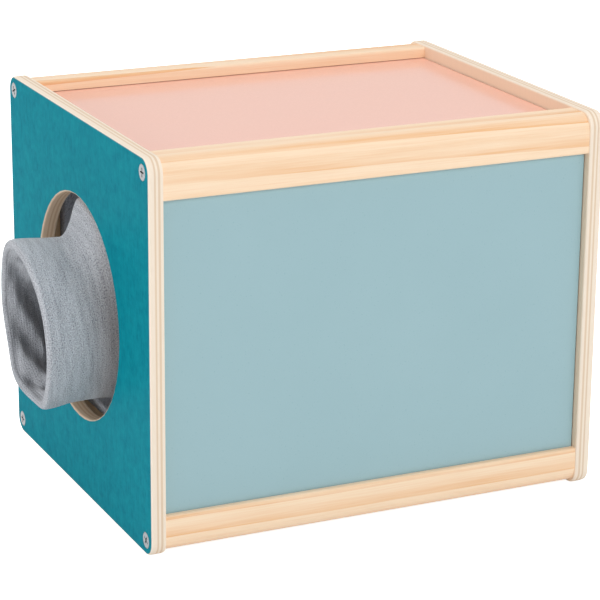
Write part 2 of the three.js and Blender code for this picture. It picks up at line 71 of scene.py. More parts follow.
class Side(Enum):
    """The two ends of the box, by the sign of X."""

    LEFT = -1
    RIGHT = 1

    @property
    def word(self) -> str:
        """The side's name as the CAD nodes spell it."""
        return self.name.lower()


class Axis(Enum):
    """An axis of the box, by the name of its output on a Separate XYZ node."""

    X = "X"
    Y = "Y"
    Z = "Z"


def linear(hex_colour: str) -> Colour:
    """Turns an sRGB hex colour into linear RGBA.

    Args:
        hex_colour: Six hex digits after a hash sign.

    Returns:
        Red, green, blue and an alpha of 1.
    """
    shares = [int(hex_colour[i : i + 2], 16) / 255 for i in (1, 3, 5)]
    return (*((c / 12.92) if c <= 0.04045 else ((c + 0.055) / 1.055) ** 2.4 for c in shares), 1.0)


def per(size_mm: float) -> float:
    """The texture scale at which a feature is this many millimetres wide."""
    return 1 / (size_mm * MM)


def bands_per(size_mm: float) -> float:
    """The wave texture's scale at which one band is this many millimetres wide."""
    return 2 * math.pi / 20 * per(size_mm)


def smooth(share: float) -> float:
    """Eases a share, held between 0 and 1."""
    held = min(1.0, max(0.0, share))
    return held * held * (3 - 2 * held)


def curve(before: float, here: float, there: float, after: float, share: float) -> float:
    """Runs smoothly from one value to the next.

    Args:
        before: The value before the first.
        here: The value at a share of 0.
        there: The value at a share of 1.
        after: The value after that.
        share: How far to go.

    Returns:
        The value between.
    """
    slope = there - before
    bend = 2 * before - 5 * here + 4 * there - after
    turn = 3 * here - before - 3 * there + after
    return here + 0.5 * share * (slope + share * (bend + share * turn))


class NodeBoard:
    """A node tree that is filled one node at a time."""

    def __init__(self, tree: bpy.types.NodeTree) -> None:
        """Takes a tree to fill.

        Args:
            tree: The tree of a material or of the world.
        """
        self.tree = tree

    def add(
        self, kind: str, inputs: dict | None = None, stops: list | None = None, **settings: object
    ) -> bpy.types.Node:
        """Adds one node with its settings and links.

        Args:
            kind: Blender's name for the node.
            inputs: Values or sockets for the node's inputs, by name or number.
            stops: Place and hex colour of each stop, for a colour ramp.
            **settings: The node's own fields.

        Returns:
            The new node.
        """
        node = self.tree.nodes.new(kind)
        for name, value in settings.items():
            setattr(node, name, value)
        if stops:
            ramp = node.color_ramp.elements
            ramp.remove(ramp[1])
            ramp[0].position, ramp[0].color = stops[0][0], linear(stops[0][1])
            for place, colour in stops[1:]:
                ramp.new(place).color = linear(colour)
        self.feed(node, inputs or {})
        return node

    def feed(self, node: bpy.types.Node, inputs: dict) -> None:
        """Sets or links a node's inputs.

        Args:
            node: The node to feed.
            inputs: Values or sockets, by input name or number.
        """
        for key, value in inputs.items():
            if isinstance(value, Socket):
                self.tree.links.new(value, node.inputs[key])
            else:
                node.inputs[key].default_value = value

    def seen(self) -> Socket:
        """Tells rays that show a thing to the camera from rays that gather light.

        Returns:
            1 for rays from the camera, from gloss and through glass, and 0 for the others.
        """
        rays = self.add("ShaderNodeLightPath").outputs
        plain = self.add(
            "ShaderNodeMath", {0: rays["Is Camera Ray"], 1: rays["Is Glossy Ray"]}, operation="MAXIMUM"
        ).outputs[0]
        return self.add(
            "ShaderNodeMath", {0: plain, 1: rays["Is Transmission Ray"]}, operation="MAXIMUM"
        ).outputs[0]


class Surface(NodeBoard):
    """A material's node tree, with its principled shader."""

    def __init__(self, name: str) -> None:
        """Makes an empty material.

        Args:
            name: The material's name, from what the real one is.
        """
        self.material = bpy.data.materials.new(name)
        self.material.use_nodes = True
        super().__init__(self.material.node_tree)
        self.shader = self.tree.nodes["Principled BSDF"]

    def finish(
        self, inputs: dict, height: Socket | None = None, relief_mm: float = 0.1
    ) -> bpy.types.Material:
        """Feeds the shader, with a bump from a height where there is one.

        Args:
            inputs: Values or sockets for the shader.
            height: A height from 0 to 1.
            relief_mm: What a height of 1 stands for.

        Returns:
            The finished material.
        """
        self.feed(self.shader, inputs)
        if height is not None:
            bump = self.add("ShaderNodeBump", {"Height": height, "Distance": relief_mm * MM})
            self.feed(self.shader, {"Normal": bump.outputs["Normal"]})
        return self.material


@dataclass(frozen=True)
class FacedPlywood:
    """Birch plywood: a coloured face, and bare edges on which the plies show as pale and tan bands.

    The bands and the inner face lie at shares of the thickness, from the outer face in.
    """

    name: str
    face_deep: str
    face_light: str
    axis: Axis
    outer_mm: float
    thickness_mm: float
    both_faces: bool
    face_roughness: float = 0.55
    face_gloss: float = 0.02
    pale_ply: str = "#F7EADA"
    tan_ply: str = "#E4CDB3"
    inner_face: str = "#F5DCC3"
    pale_bands: tuple[tuple[float, float], ...] = ((0.0, 0.36), (0.51, 0.61), (0.79, 0.975))
    tan_bands: tuple[tuple[float, float], ...] = ((0.40, 0.47), (0.65, 0.75))
    inner_from: float = 0.985
    bare_roughness: float = 0.68
    blotch_mm: float = 5.0
    pore_mm: float = 0.9
    pore_stretch: float = 0.12
    pore_share: float = 0.35
    stain_from: float = 0.36
    stain_to: float = 0.64
    skin_mm: float = 0.25
    skin_solid: float = 0.3
    hole_mm: float = 0.0
    hole_height_mm: float = 100.0
    hole_fade_mm: float = 0.8
    # A warm tint multiplied into the arm hole's wall: painted warm shade for the dim bounce light inside the
    # hole
    hole_warm_shade_tint: str = "#FFF0E0"

    def material(self) -> bpy.types.Material:
        """Builds the material, which tells face from edge by the depth below the outer face.

        Returns:
            The plywood's material.
        """
        s = Surface(self.name)
        place = s.add("ShaderNodeTexCoord").outputs["Object"]
        axes = s.add("ShaderNodeSeparateXYZ", {0: place})
        along = s.add("ShaderNodeMath", {0: axes.outputs[self.axis.value]}, operation="ABSOLUTE").outputs[0]
        depth = s.add(
            "ShaderNodeMapRange",
            {0: along, 1: self.outer_mm * MM, 2: (self.outer_mm - self.thickness_mm) * MM, 3: 0.0, 4: 1.0},
        ).outputs[0]
        # Veneers of unequal thickness, as the edge of the real panel shows
        pale = [(end, self.pale_ply) for band in self.pale_bands for end in band]
        tan = [(end, self.tan_ply) for band in self.tan_bands for end in band]
        veneers = [*sorted(pale + tan), (self.inner_from, self.inner_face)]
        plies = s.add("ShaderNodeValToRGB", {0: depth}, stops=veneers).outputs[0]
        fibre_way = s.add("ShaderNodeMapping", {0: place, 3: (1.0, 1.0, self.pore_stretch)}).outputs[0]
        fibre = s.add(
            "ShaderNodeTexNoise",
            {"Vector": fibre_way, "Scale": per(self.pore_mm), "Detail": 3.0, "Roughness": 0.6},
        ).outputs[0]
        bare = s.add("ShaderNodeMix", {0: fibre, 6: plies, 7: linear(self.tan_ply)}, data_type="RGBA")
        bare_tone = s.add(
            "ShaderNodeMix", {0: self.pore_share, 6: plies, 7: bare.outputs[2]}, data_type="RGBA"
        ).outputs[2]
        if self.hole_mm:
            # Painted warm shade: the routed wall of the arm hole is tinted warmer and darker than the sanded
            # edges, for the dim bounce light inside the hole
            across = s.add(
                "ShaderNodeMapping",
                {0: place, 1: (0.0, 0.0, -self.hole_height_mm * MM), 3: (0.0, 1.0, 1.0)},
            ).outputs[0]
            out = s.add("ShaderNodeVectorMath", {0: across}, operation="LENGTH").outputs["Value"]
            fade_end = (self.hole_mm + self.hole_fade_mm) * MM
            hole_shade_mask = s.add(
                "ShaderNodeMapRange", {0: out, 1: self.hole_mm * MM, 2: fade_end, 3: 1.0, 4: 0.0}
            ).outputs[0]
            bare_tone = s.add(
                "ShaderNodeMix",
                {0: hole_shade_mask, 6: bare_tone, 7: linear(self.hole_warm_shade_tint)},
                data_type="RGBA",
                blend_type="MULTIPLY",
            ).outputs[2]
        # Stain takes unevenly: soft blotches, then the pores along the grain
        blotch = s.add(
            "ShaderNodeTexNoise",
            {"Vector": place, "Scale": per(self.blotch_mm), "Detail": 5.0, "Roughness": 0.62},
        ).outputs[0]
        mottle = s.add("ShaderNodeMix", {0: self.pore_share, 2: blotch, 3: fibre}).outputs[0]
        tone = s.add(
            "ShaderNodeMapRange", {0: mottle, 1: self.stain_from, 2: self.stain_to, 3: 0.0, 4: 1.0}
        ).outputs[0]
        face = s.add(
            "ShaderNodeMix",
            {0: tone, 6: linear(self.face_deep), 7: linear(self.face_light)},
            data_type="RGBA",
        ).outputs[2]
        # The colour goes in by a quarter of a millimetre, and fades out there
        skin = self.skin_mm / self.thickness_mm
        solid = self.skin_solid * skin
        on_face = s.add("ShaderNodeMapRange", {0: depth, 1: solid, 2: skin, 3: 1.0, 4: 0.0}).outputs[0]
        if self.both_faces:
            inner = s.add(
                "ShaderNodeMapRange", {0: depth, 1: 1 - skin, 2: 1 - solid, 3: 0.0, 4: 1.0}
            ).outputs[0]
            on_face = s.add("ShaderNodeMath", {0: on_face, 1: inner}, operation="MAXIMUM").outputs[0]
        colour = s.add("ShaderNodeMix", {0: on_face, 6: bare_tone, 7: face}, data_type="RGBA").outputs[2]
        rough = s.add(
            "ShaderNodeMapRange",
            {0: on_face, 1: 0.0, 2: 1.0, 3: self.bare_roughness, 4: self.face_roughness},
        ).outputs[0]
        return s.finish(
            {"Base Color": colour, "Roughness": rough, "Specular IOR Level": self.face_gloss},
            height=fibre,
            relief_mm=0.05,
        )


@dataclass(frozen=True)
class Pine:
    """Planed pine under a clear satin varnish: pale early wood, soft orange late wood, fine fibres."""

    name: str
    grain: Axis
    early: str = "#FAE0C2"
    late: str = "#EAB076"
    ring_mm: float = 8.0
    ring_wander: float = 4.0
    ring_sharpness: float = 1.9
    fibre_mm: float = 0.7
    fibre_stretch: float = 0.02
    drift_mm: float = 6.0
    faintest_ring: float = 0.16
    faint_below: float = 0.4
    strong_above: float = 0.66
    pith: Point = (0.0, 0.0264, 0.2688)

    def material(self) -> bpy.types.Material:
        """Builds the material from growth rings round a pith that lies outside the piece.

        Returns:
            The pine's material.
        """
        s = Surface(self.name)
        place = s.add("ShaderNodeTexCoord").outputs["Object"]
        # A slight slope, so that rings run out along the piece as in a sawn board
        slope = (0.0, 0.012, 0.016) if self.grain is Axis.X else (0.014, 0.012, 0.0)
        board = s.add("ShaderNodeMapping", {0: place, 1: tuple(-p for p in self.pith), 2: slope}).outputs[0]
        rings = s.add(
            "ShaderNodeTexWave",
            {
                "Vector": board,
                "Scale": bands_per(self.ring_mm),
                "Distortion": self.ring_wander,
                "Detail": 2.0,
                "Detail Scale": 0.05,
                "Detail Roughness": 0.5,
            },
            wave_type="RINGS",
            rings_direction=self.grain.value,
            wave_profile="SAW",
        ).outputs["Fac"]
        along = self.fibre_stretch
        stretch = (along, 1.0, 1.0) if self.grain is Axis.X else (1.0, 1.0, along)
        fibre_way = s.add("ShaderNodeMapping", {0: place, 3: stretch}).outputs[0]
        fibre = s.add(
            "ShaderNodeTexNoise",
            {"Vector": fibre_way, "Scale": per(self.fibre_mm), "Detail": 3.0, "Roughness": 0.55},
        ).outputs[0]
        drift = s.add(
            "ShaderNodeTexNoise",
            {"Vector": fibre_way, "Scale": per(self.drift_mm), "Detail": 2.0, "Roughness": 0.5},
        ).outputs[0]
        # Only some rings have strong late wood
        strong = s.add(
            "ShaderNodeMapRange",
            {0: drift, 1: self.faint_below, 2: self.strong_above, 3: self.faintest_ring, 4: 1.0},
        ).outputs[0]
        late = s.add("ShaderNodeMath", {0: rings, 1: self.ring_sharpness}, operation="POWER").outputs[0]
        late = s.add("ShaderNodeMath", {0: late, 1: strong}, operation="MULTIPLY").outputs[0]
        speck = s.add(
            "ShaderNodeMapRange", {0: fibre, 1: NOISE_LOW, 2: NOISE_HIGH, 3: -0.1, 4: 0.2}
        ).outputs[0]
        share = s.add("ShaderNodeMath", {0: late, 1: speck}, operation="ADD", use_clamp=True).outputs[0]
        colour = s.add(
            "ShaderNodeMix", {0: share, 6: linear(self.early), 7: linear(self.late)}, data_type="RGBA"
        ).outputs[2]
        return s.finish({"Base Color": colour, "Roughness": 0.5, "IOR": 1.5}, height=fibre, relief_mm=0.03)


@dataclass(frozen=True)
class BarePlywood:
    """Sanded birch plywood with no finish, for the frames that hold the sleeves."""

    name: str = "bare_birch_plywood"
    pale: str = "#D9BC95"
    dark: str = "#B8946A"
    fibre_mm: float = 0.8
    fibre_stretch: float = 0.06

    def material(self) -> bpy.types.Material:
        """Builds the material from fibres along Z.

        Returns:
            The bare plywood's material.
        """
        s = Surface(self.name)
        place = s.add("ShaderNodeTexCoord").outputs["Object"]
        way = s.add("ShaderNodeMapping", {0: place, 3: (1.0, 1.0, self.fibre_stretch)}).outputs[0]
        fibre = s.add(
            "ShaderNodeTexNoise",
            {"Vector": way, "Scale": per(self.fibre_mm), "Detail": 4.0, "Roughness": 0.6},
        ).outputs[0]
        colour = s.add(
            "ShaderNodeMix", {0: fibre, 6: linear(self.pale), 7: linear(self.dark)}, data_type="RGBA"
        ).outputs[2]
        return s.finish({"Base Color": colour, "Roughness": 0.7, "IOR": 1.5}, height=fibre, relief_mm=0.06)


@dataclass(frozen=True)
class PaintedSheet:
    """Thin hardboard under satin paint: an even colour with a faint drift and the rough skin of a roller."""

    name: str
    colour: str
    drift_to: str
    skin_mm: float = 0.9
    drift_mm: float = 60.0
    roughness: float = 0.32
    roughness_spread: float = 0.05

    def material(self) -> bpy.types.Material:
        """Builds the material.

        Returns:
            The painted sheet's material.
        """
        s = Surface(self.name)
        place = s.add("ShaderNodeTexCoord").outputs["Object"]
        drift = s.add(
            "ShaderNodeTexNoise",
            {"Vector": place, "Scale": per(self.drift_mm), "Detail": 3.0, "Roughness": 0.6},
        ).outputs[0]
        # The skin of rolled paint is about 0.3 mm wide; drawn at 0.9 mm so that it shows
        skin = s.add(
            "ShaderNodeTexNoise",
            {"Vector": place, "Scale": per(self.skin_mm), "Detail": 2.0, "Roughness": 0.5},
        ).outputs[0]
        colour = s.add(
            "ShaderNodeMix", {0: drift, 6: linear(self.colour), 7: linear(self.drift_to)}, data_type="RGBA"
        ).outputs[2]
        smoothest = self.roughness - self.roughness_spread
        roughest = self.roughness + self.roughness_spread
        rough = s.add(
            "ShaderNodeMapRange", {0: skin, 1: NOISE_LOW, 2: NOISE_HIGH, 3: smoothest, 4: roughest}
        ).outputs[0]
        return s.finish(
            {"Base Color": colour, "Roughness": rough, "IOR": 1.5}, height=skin, relief_mm=0.015
        )


@dataclass(frozen=True)
class HeatherJersey:
    """Brushed cotton jersey of mixed grey yarn: dark and pale flecks drawn out along the courses."""

    name: str = "heather_cotton_jersey"
    pale: str = "#C9CCD1"
    middle: str = "#ADB0B7"
    dark: str = "#66676E"
    pale_from: float = 0.6
    middle_at: float = 0.49
    dark_below: float = 0.34
    fleck_mm: float = 0.62
    fleck_stretch: float = 0.8
    cloud_mm: float = 2.6
    cloud_stretch: float = 0.12
    cloud_share: float = 0.22
    wale_mm: float = 1.3
    nap_share: float = 0.55

    def material(self) -> bpy.types.Material:
        """Builds the material on the cloth's own map, which is in metres round and along the sleeve.

        Returns:
            The jersey's material.
        """
        s = Surface(self.name)
        cloth = s.add("ShaderNodeUVMap", uv_map="cloth").outputs[0]
        # Flecks of yarn, a little longer round the sleeve than along it
        drawn = s.add("ShaderNodeMapping", {0: cloth, 3: (self.fleck_stretch, 1.0, 1.0)}).outputs[0]
        fleck = s.add(
            "ShaderNodeTexNoise",
            {"Vector": drawn, "Scale": per(self.fleck_mm), "Detail": 3.0, "Roughness": 0.7},
        ).outputs[0]
        course = s.add("ShaderNodeMapping", {0: cloth, 3: (self.cloud_stretch, 1.0, 1.0)}).outputs[0]
        cloud = s.add(
            "ShaderNodeTexNoise",
            {"Vector": course, "Scale": per(self.cloud_mm), "Detail": 3.0, "Roughness": 0.6},
        ).outputs[0]
        mixed = s.add("ShaderNodeMix", {0: self.cloud_share, 2: fleck, 3: cloud}).outputs[0]
        colour = s.add(
            "ShaderNodeValToRGB",
            {0: mixed},
            stops=[(self.dark_below, self.dark), (self.middle_at, self.middle), (self.pale_from, self.pale)],
        ).outputs[0]
        # Stitches are about 0.7 mm wide; drawn at 1.3 mm so that the knit shows
        wales = s.add(
            "ShaderNodeTexWave",
            {"Vector": cloth, "Scale": bands_per(self.wale_mm), "Distortion": 0.6, "Detail": 1.0},
            wave_type="BANDS",
            bands_direction="X",
        ).outputs["Fac"]
        courses = s.add(
            "ShaderNodeTexWave",
            {"Vector": cloth, "Scale": bands_per(self.wale_mm), "Distortion": 0.8, "Detail": 1.0},
            wave_type="BANDS",
            bands_direction="Y",
        ).outputs["Fac"]
        stitch = s.add("ShaderNodeMath", {0: wales, 1: courses}, operation="MULTIPLY").outputs[0]
        nap = s.add("ShaderNodeMix", {0: self.nap_share, 2: stitch, 3: fleck}).outputs[0]
        return s.finish(
            {
                "Base Color": colour,
                "Roughness": 0.95,
                "Specular IOR Level": 0.2,
                "Sheen Weight": 0.25,
                "Sheen Roughness": 0.5,
            },
            height=nap,
            relief_mm=0.35,
        )


@dataclass(frozen=True)
class Plain:
    """A hard finish with a fine grain: plated steel, ferrite or moulded plastic."""

    name: str
    colour: str
    roughness: float
    metallic: float = 0.0
    grain_mm: float = 0.5
    spread: float = 0.2

    def material(self) -> bpy.types.Material:
        """Builds the material, with a roughness that the grain varies.

        Returns:
            The material.
        """
        s = Surface(self.name)
        place = s.add("ShaderNodeTexCoord").outputs["Object"]
        grain = s.add(
            "ShaderNodeTexNoise",
            {"Vector": place, "Scale": per(self.grain_mm), "Detail": 3.0, "Roughness": 0.6},
        ).outputs[0]
        smoothest = (1 - self.spread) * self.roughness
        roughest = (1 + self.spread) * self.roughness
        rough = s.add(
            "ShaderNodeMapRange", {0: grain, 1: NOISE_LOW, 2: NOISE_HIGH, 3: smoothest, 4: roughest}
        ).outputs[0]
        return s.finish(
            {"Base Color": linear(self.colour), "Metallic": self.metallic, "Roughness": rough},
            height=grain,
            relief_mm=0.01,
        )


@dataclass
class Carcass:
    """The CAD nodes of the box that keep their shape: ends, rails, sheets, door and ironmongery."""

    nodes: dict[str, bpy.types.Object]
    end_outer_mm: float = 123.0
    end_thickness_mm: float = 8.0
    arm_hole_mm: float = 58.8
    door_outer_mm: float = 95.0
    door_thickness_mm: float = 6.0

    def finishes(self) -> dict[str, bpy.types.Material]:
        """Builds one material for each start of a node's name.

        Returns:
            Materials by the start of the node names that wear them.
        """
        # Water stain lets the birch's pores and blotches show through an even teal, almost without gloss
        teal = FacedPlywood(
            "teal_stained_birch_plywood",
            "#007587",
            "#0C8A98",
            Axis.X,
            self.end_outer_mm,
            self.end_thickness_mm,
            both_faces=False,
            # The arm hole's wall gets a painted warm shade
            hole_mm=self.arm_hole_mm,
        ).material()
        # The door's thicker sheet wears the front's colour, and shows its plies at the finger hole
        blue_ply = FacedPlywood(
            "blue_grey_painted_birch_plywood",
            "#98BAC1",
            "#A3C4CA",
            Axis.Y,
            self.door_outer_mm,
            self.door_thickness_mm,
            both_faces=True,
            face_roughness=0.5,
        ).material()
        # Varnished pine: cream with soft orange rings that run along each piece
        pine_along = Pine("planed_pine_rail", Axis.X).material()
        pine_upright = Pine("planed_pine_stile", Axis.Z, pith=(0.06, 0.02, 0.1)).material()
        # Satin paint: an even colour, and on the smoother peach a glow of the rails beside it
        blue = PaintedSheet("blue_grey_painted_hardboard", "#94B5BC", "#9ABAC1").material()
        peach = PaintedSheet("peach_painted_hardboard", "#F8BFAB", "#F7C2B0", roughness=0.18).material()
        # Zinc plate: a soft, cool grey shine
        zinc = Plain("zinc_plated_steel", "#96989A", 0.36, metallic=1.0).material()
        return {
            "end_panel": teal,
            "sleeve_frame": BarePlywood().material(),
            "sleeve_clamp": BarePlywood(name="bare_birch_clamp").material(),
            "rail": pine_along,
            "back_stile": pine_upright,
            "front_panel": blue,
            "top_panel": peach,
            "bottom_panel": peach,
            "door": blue_ply,
            "hinge": zinc,
            "frame_screw": zinc,
            "clamp_screw": zinc,
            "catch_screw": zinc,
            "strike": zinc,
            "catch_block": Plain("white_moulded_abs", "#E6E3DC", 0.45).material(),
            "catch_magnet": Plain("ground_ferrite", "#3A3B3E", 0.5, metallic=0.3).material(),
        }

    def dress(self) -> None:
        """Gives every node its material, apart from the sleeves' nodes, which the cloth replaces."""
        finishes = self.finishes()
        for name, node in self.nodes.items():
            start = max((s for s in finishes if name.startswith(s)), key=len, default=None)
            if start is None:
                continue
            node.data.materials.clear()
            node.data.materials.append(finishes[start])
            LOG.info("%s wears %s", name, finishes[start].name)


@dataclass(frozen=True)
class Station:
    """One place along the sleeve's cloth: reach out of the end and radius in mm, share of lean and sag."""

    reach: float
    radius: float
    shift: float

    def towards(self, other: "Station", share: float) -> "Station":
        """A station part of the way to another.

        Args:
            other: The station at a share of 1.
            share: How far to go.

        Returns:
            The station between.
        """
        mix = [a + (b - a) * share for a, b in zip(self.values(), other.values())]
        return Station(*mix)

    def values(self) -> tuple[float, float, float]:
        """The station's three numbers."""
        return (self.reach, self.radius, self.shift)


@dataclass
class Sleeve:
    """A jersey sleeve, in millimetres: a clamped flange, a flare in the hole, a tube and a turned lip.

    Angles are in degrees from the back over the top. Rows are shares of the way along the tube, round the
    lip and along the hem.
    """

    side: Side
    end_outer: float = 123.0
    middle_height: float = 100.0
    flange_reach: float = -14.0
    flange_half: float = 70.0
    neck_half: float = 58.4
    tube_radius: float = 44.0
    taper: float = 2.2
    lean: float = 4.0
    sag: float = 5.0
    lip_radius: float = 2.6
    lip_reach: tuple[float, ...] = (
        *(27.8, 29.2, 32.0, 34.4, 34.4, 33.2),
        *(32.4, 31.2, 28.4, 25.6, 28.6, 27.2),
    )
    rim_from: float = 75.0
    rim_to: float = 230.0
    rim_fade: float = 14.0
    squared_rows: int = 3
    sunk_from: float = 108.0
    sunk_to: float = 172.0
    squareness: int = 8
    tube_start: float = 10.0
    tube_rows: tuple[float, ...] = (0.1, 0.4, 0.75)
    lip_rows: tuple[float, ...] = (0.0, 0.25, 0.5, 0.75, 1.0)
    lip_tuck: float = 0.4
    hem_rows: tuple[float, ...] = (0.2, 0.42, 0.64, 0.84)
    fold_depth: float = 4.4
    folds: int = 7
    fold_twist: float = 0.9
    fold_ripple: float = 1.2
    tube_ripple: float = 0.5
    ripple_turns: float = 1.3
    ripple_length: float = 22.0
    hem_end: float = 7.5
    hem_room: float = 3.0
    root_reach: float = 6.0
    cloth: float = 1.0
    cut_length: float = 150.0
    cut_flare: float = 45.0
    map_offset: float = 250.0
    around: int = 200
    between: int = 6
    back_cloth: tuple[Station, ...] = (
        Station(-19.0, 58.1, 0.0),
        Station(-27.0, 59.3, 0.1),
        Station(-31.5, 56.0, 0.4),
        Station(-31.0, 50.0, 0.8),
        Station(-24.0, 44.0, 1.0),
        Station(-6.0, 41.8, 1.0),
    )
    top_cloth: tuple[Station, ...] = (
        Station(-10.0, 57.2, 0.0),
        Station(-5.5, 57.0, 0.0),
        Station(-1.2, 56.1, 0.06),
        Station(1.4, 53.0, 0.3),
        Station(4.0, 49.0, 0.7),
        Station(7.4, 44.6, 0.95),
    )
    front_cloth: tuple[Station, ...] = (
        Station(-19.0, 57.4, 0.0),
        Station(-23.0, 55.0, 0.1),
        Station(-23.0, 50.5, 0.4),
        Station(-17.0, 46.4, 0.8),
        Station(-8.0, 40.8, 1.0),
        Station(2.0, 40.4, 1.0),
    )

    def through_hole(self, angle: float) -> list[Station]:
        """The cloth in the hole: against the rim at the top and front, in a pocket at the back.

        Args:
            angle: Radians round the sleeve, from the back over the top.

        Returns:
            Stations from the neck towards the tube.
        """
        turn = math.degrees(angle)
        rise = smooth((turn - self.rim_from) / self.rim_fade)
        on_rim = rise * smooth((self.rim_to - turn) / self.rim_fade)
        sunk = smooth((turn - self.sunk_from) / (self.sunk_to - self.sunk_from))
        pocket = [
            Station(s.reach, self.squared(s.radius, angle), s.shift) if i < self.squared_rows else s
            for i, s in enumerate(self.back_cloth)
        ]
        places = zip(pocket, self.top_cloth, self.front_cloth)
        return [back.towards(top.towards(front, sunk), on_rim) for back, top, front in places]

    def squared(self, half: float, angle: float) -> float:
        """The radius of a rounded square at an angle.

        Args:
            half: Half of the square's width.
            angle: Radians round the sleeve.

        Returns:
            The radius there.
        """
        power = self.squareness
        return half / (abs(math.cos(angle)) ** power + abs(math.sin(angle)) ** power) ** (1 / power)

    def ripple(self, angle: float, along: float, size: float) -> float:
        """A smooth, fixed unevenness of the cloth.

        Args:
            angle: Radians round the sleeve.
            along: Millimetres along it.
            size: The largest rise.

        Returns:
            A rise from -size to size.
        """
        turns = self.ripple_turns
        spot = Vector((turns * math.cos(angle), turns * math.sin(angle), along / self.ripple_length))
        return size * noise.noise(spot)

    def mouth(self, angle: float) -> float:
        """The reach of the lip at an angle: furthest at the top, with a wave at the back."""
        count = len(self.lip_reach)
        whole, share = divmod(angle / (2 * math.pi) * count, 1)
        return curve(*(self.lip_reach[(int(whole) + k) % count] for k in (-1, 0, 1, 2)), share)

    def profile(self, angle: float) -> list[Station]:
        """The stations of the cloth at one angle, from the flange to the end of the hem.

        Args:
            angle: Radians round the sleeve.

        Returns:
            Stations in order.
        """
        mouth = self.mouth(angle)
        tube = self.tube_radius
        lip = self.lip_radius
        outline = [
            Station(self.flange_reach, self.squared(self.flange_half, angle), 0.0),
            Station(self.flange_reach, self.squared(self.neck_half, angle), 0.0),
        ]
        outline += self.through_hole(angle)
        for share in self.tube_rows:
            reach = self.tube_start + (mouth - lip - self.tube_start) * share
            narrowed = tube - self.taper * (1 - share)
            outline.append(Station(reach, narrowed + self.ripple(angle, reach, self.tube_ripple), 1.0))
        rim = tube - self.lip_tuck + self.ripple(angle, mouth, self.tube_ripple)
        for turn in self.lip_rows:
            bend = math.pi * turn
            outline.append(
                Station(mouth - lip + lip * math.sin(bend), rim - lip + lip * math.cos(bend), 1.0)
            )
        for share in self.hem_rows:
            reach = mouth - lip - (mouth - lip - self.hem_end) * share
            fold = math.sin(self.folds * (angle + self.fold_twist * share))
            fold += self.ripple(3 * angle, reach, self.fold_ripple)
            pinch = self.fold_depth * (0.5 + 0.5 * fold) * math.sin(math.pi * share) ** 0.5
            outline.append(Station(reach, rim - 2 * lip - pinch, 1.0))
        outline.append(Station(self.hem_end, tube - self.taper - self.hem_room, 1.0))
        return outline

    def smoothed(self, stations: list[Station]) -> list[Station]:
        """Draws a smooth curve through the stations.

        Args:
            stations: The stations in order.

        Returns:
            Stations close together along the curve.
        """
        ends = [stations[0], *stations, stations[-1]]
        close = []
        for i in range(len(stations) - 1):
            before, here, there, after = (ends[i + k].values() for k in range(4))
            for step in range(self.between):
                share = step / self.between
                close.append(Station(*(curve(*four, share) for four in zip(before, here, there, after))))
        return [*close, stations[-1]]

    def point(self, station: Station, angle: float) -> Point:
        """A station's place in the box's frame.

        Args:
            station: A place along the cloth.
            angle: Radians round the sleeve.

        Returns:
            X, Y and Z in metres.
        """
        return (
            self.side.value * (self.end_outer + station.reach) * MM,
            (station.radius * math.cos(angle) - station.shift * self.lean) * MM,
            (self.middle_height + station.radius * math.sin(angle) - station.shift * self.sag) * MM,
        )

    def build(self) -> bpy.types.Object:
        """Builds the cloth as one sheet with a thickness.

        Returns:
            The sleeve's object.
        """
        angles = [2 * math.pi * i / self.around for i in range(self.around)]
        columns = [[self.point(s, a) for s in self.smoothed(self.profile(a))] for a in angles]
        rows = len(columns[0])
        verts = [p for column in columns for p in column]
        faces = []
        for i in range(self.around):
            here = i * rows
            there = (i + 1) % self.around * rows
            for j in range(rows - 1):
                quad = (here + j, there + j, there + j + 1, here + j + 1)
                faces.append(quad if self.side is Side.RIGHT else quad[::-1])
        mesh = bpy.data.meshes.new(f"sleeve_{self.side.word}")
        mesh.from_pydata(verts, [], faces)
        mesh.shade_smooth()
        self.lay_map(mesh, columns)
        sleeve = bpy.data.objects.new(f"sleeve_{self.side.word}", mesh)
        bpy.context.scene.collection.objects.link(sleeve)
        thickness = sleeve.modifiers.new("cloth", "SOLIDIFY")
        thickness.thickness = self.cloth * MM
        thickness.offset = -1.0
        return sleeve

    def lay_map(self, mesh: bpy.types.Mesh, columns: list[list[Point]]) -> None:
        """Maps the cloth in metres: round the tube, and along the cloth to either side of the lip.

        Args:
            mesh: The sleeve's mesh, whose vertices run column by column.
            columns: The points of each column.
        """
        rows = len(columns[0])
        lengths = []
        for column in columns:
            steps = [math.dist(a, b) for a, b in zip(column, column[1:])]
            before_lip = sum(steps[: self.lip_row()])
            lengths += [sum(steps[:row]) - before_lip + self.map_offset * MM for row in range(rows)]
        round_tube = 2 * math.pi * self.tube_radius * MM / self.around
        layer = mesh.uv_layers.new(name="cloth")
        for face in mesh.polygons:
            columns_here = [mesh.loops[k].vertex_index // rows for k in face.loop_indices]
            wraps = max(columns_here) - min(columns_here) > 1
            for k, column in zip(face.loop_indices, columns_here):
                turn = self.around if wraps and column == 0 else column
                layer.data[k].uv = (turn * round_tube, lengths[mesh.loops[k].vertex_index])

    def lip_row(self) -> int:
        """The number of the row that runs along the crest of the lip."""
        flange_rows = 2
        before_lip = flange_rows + len(self.back_cloth) + len(self.tube_rows)
        return (before_lip + len(self.lip_rows) // 2) * self.between

    def dress(self, sleeve: bpy.types.Object, jersey: bpy.types.Material) -> None:
        """Gives the sleeve its cloth and hides the CAD nodes that it stands for.

        Args:
            sleeve: The sleeve's object.
            jersey: The cloth's material.
        """
        word = self.side.word
        sleeve.data.materials.append(jersey)
        area = sum(face.area for face in sleeve.data.polygons)
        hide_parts(f"sleeve_skirt_{word}", f"sleeve_cuff_{word}")
        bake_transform(sleeve)
        LOG.info("%s: %d faces, %.4f square metres", sleeve.name, len(sleeve.data.polygons), area)


@dataclass(frozen=True)
class Lamp:
    """A square soft box, by its place, its width in metres and its power in watts."""

    name: str
    place: Point
    width: float
    watts: float


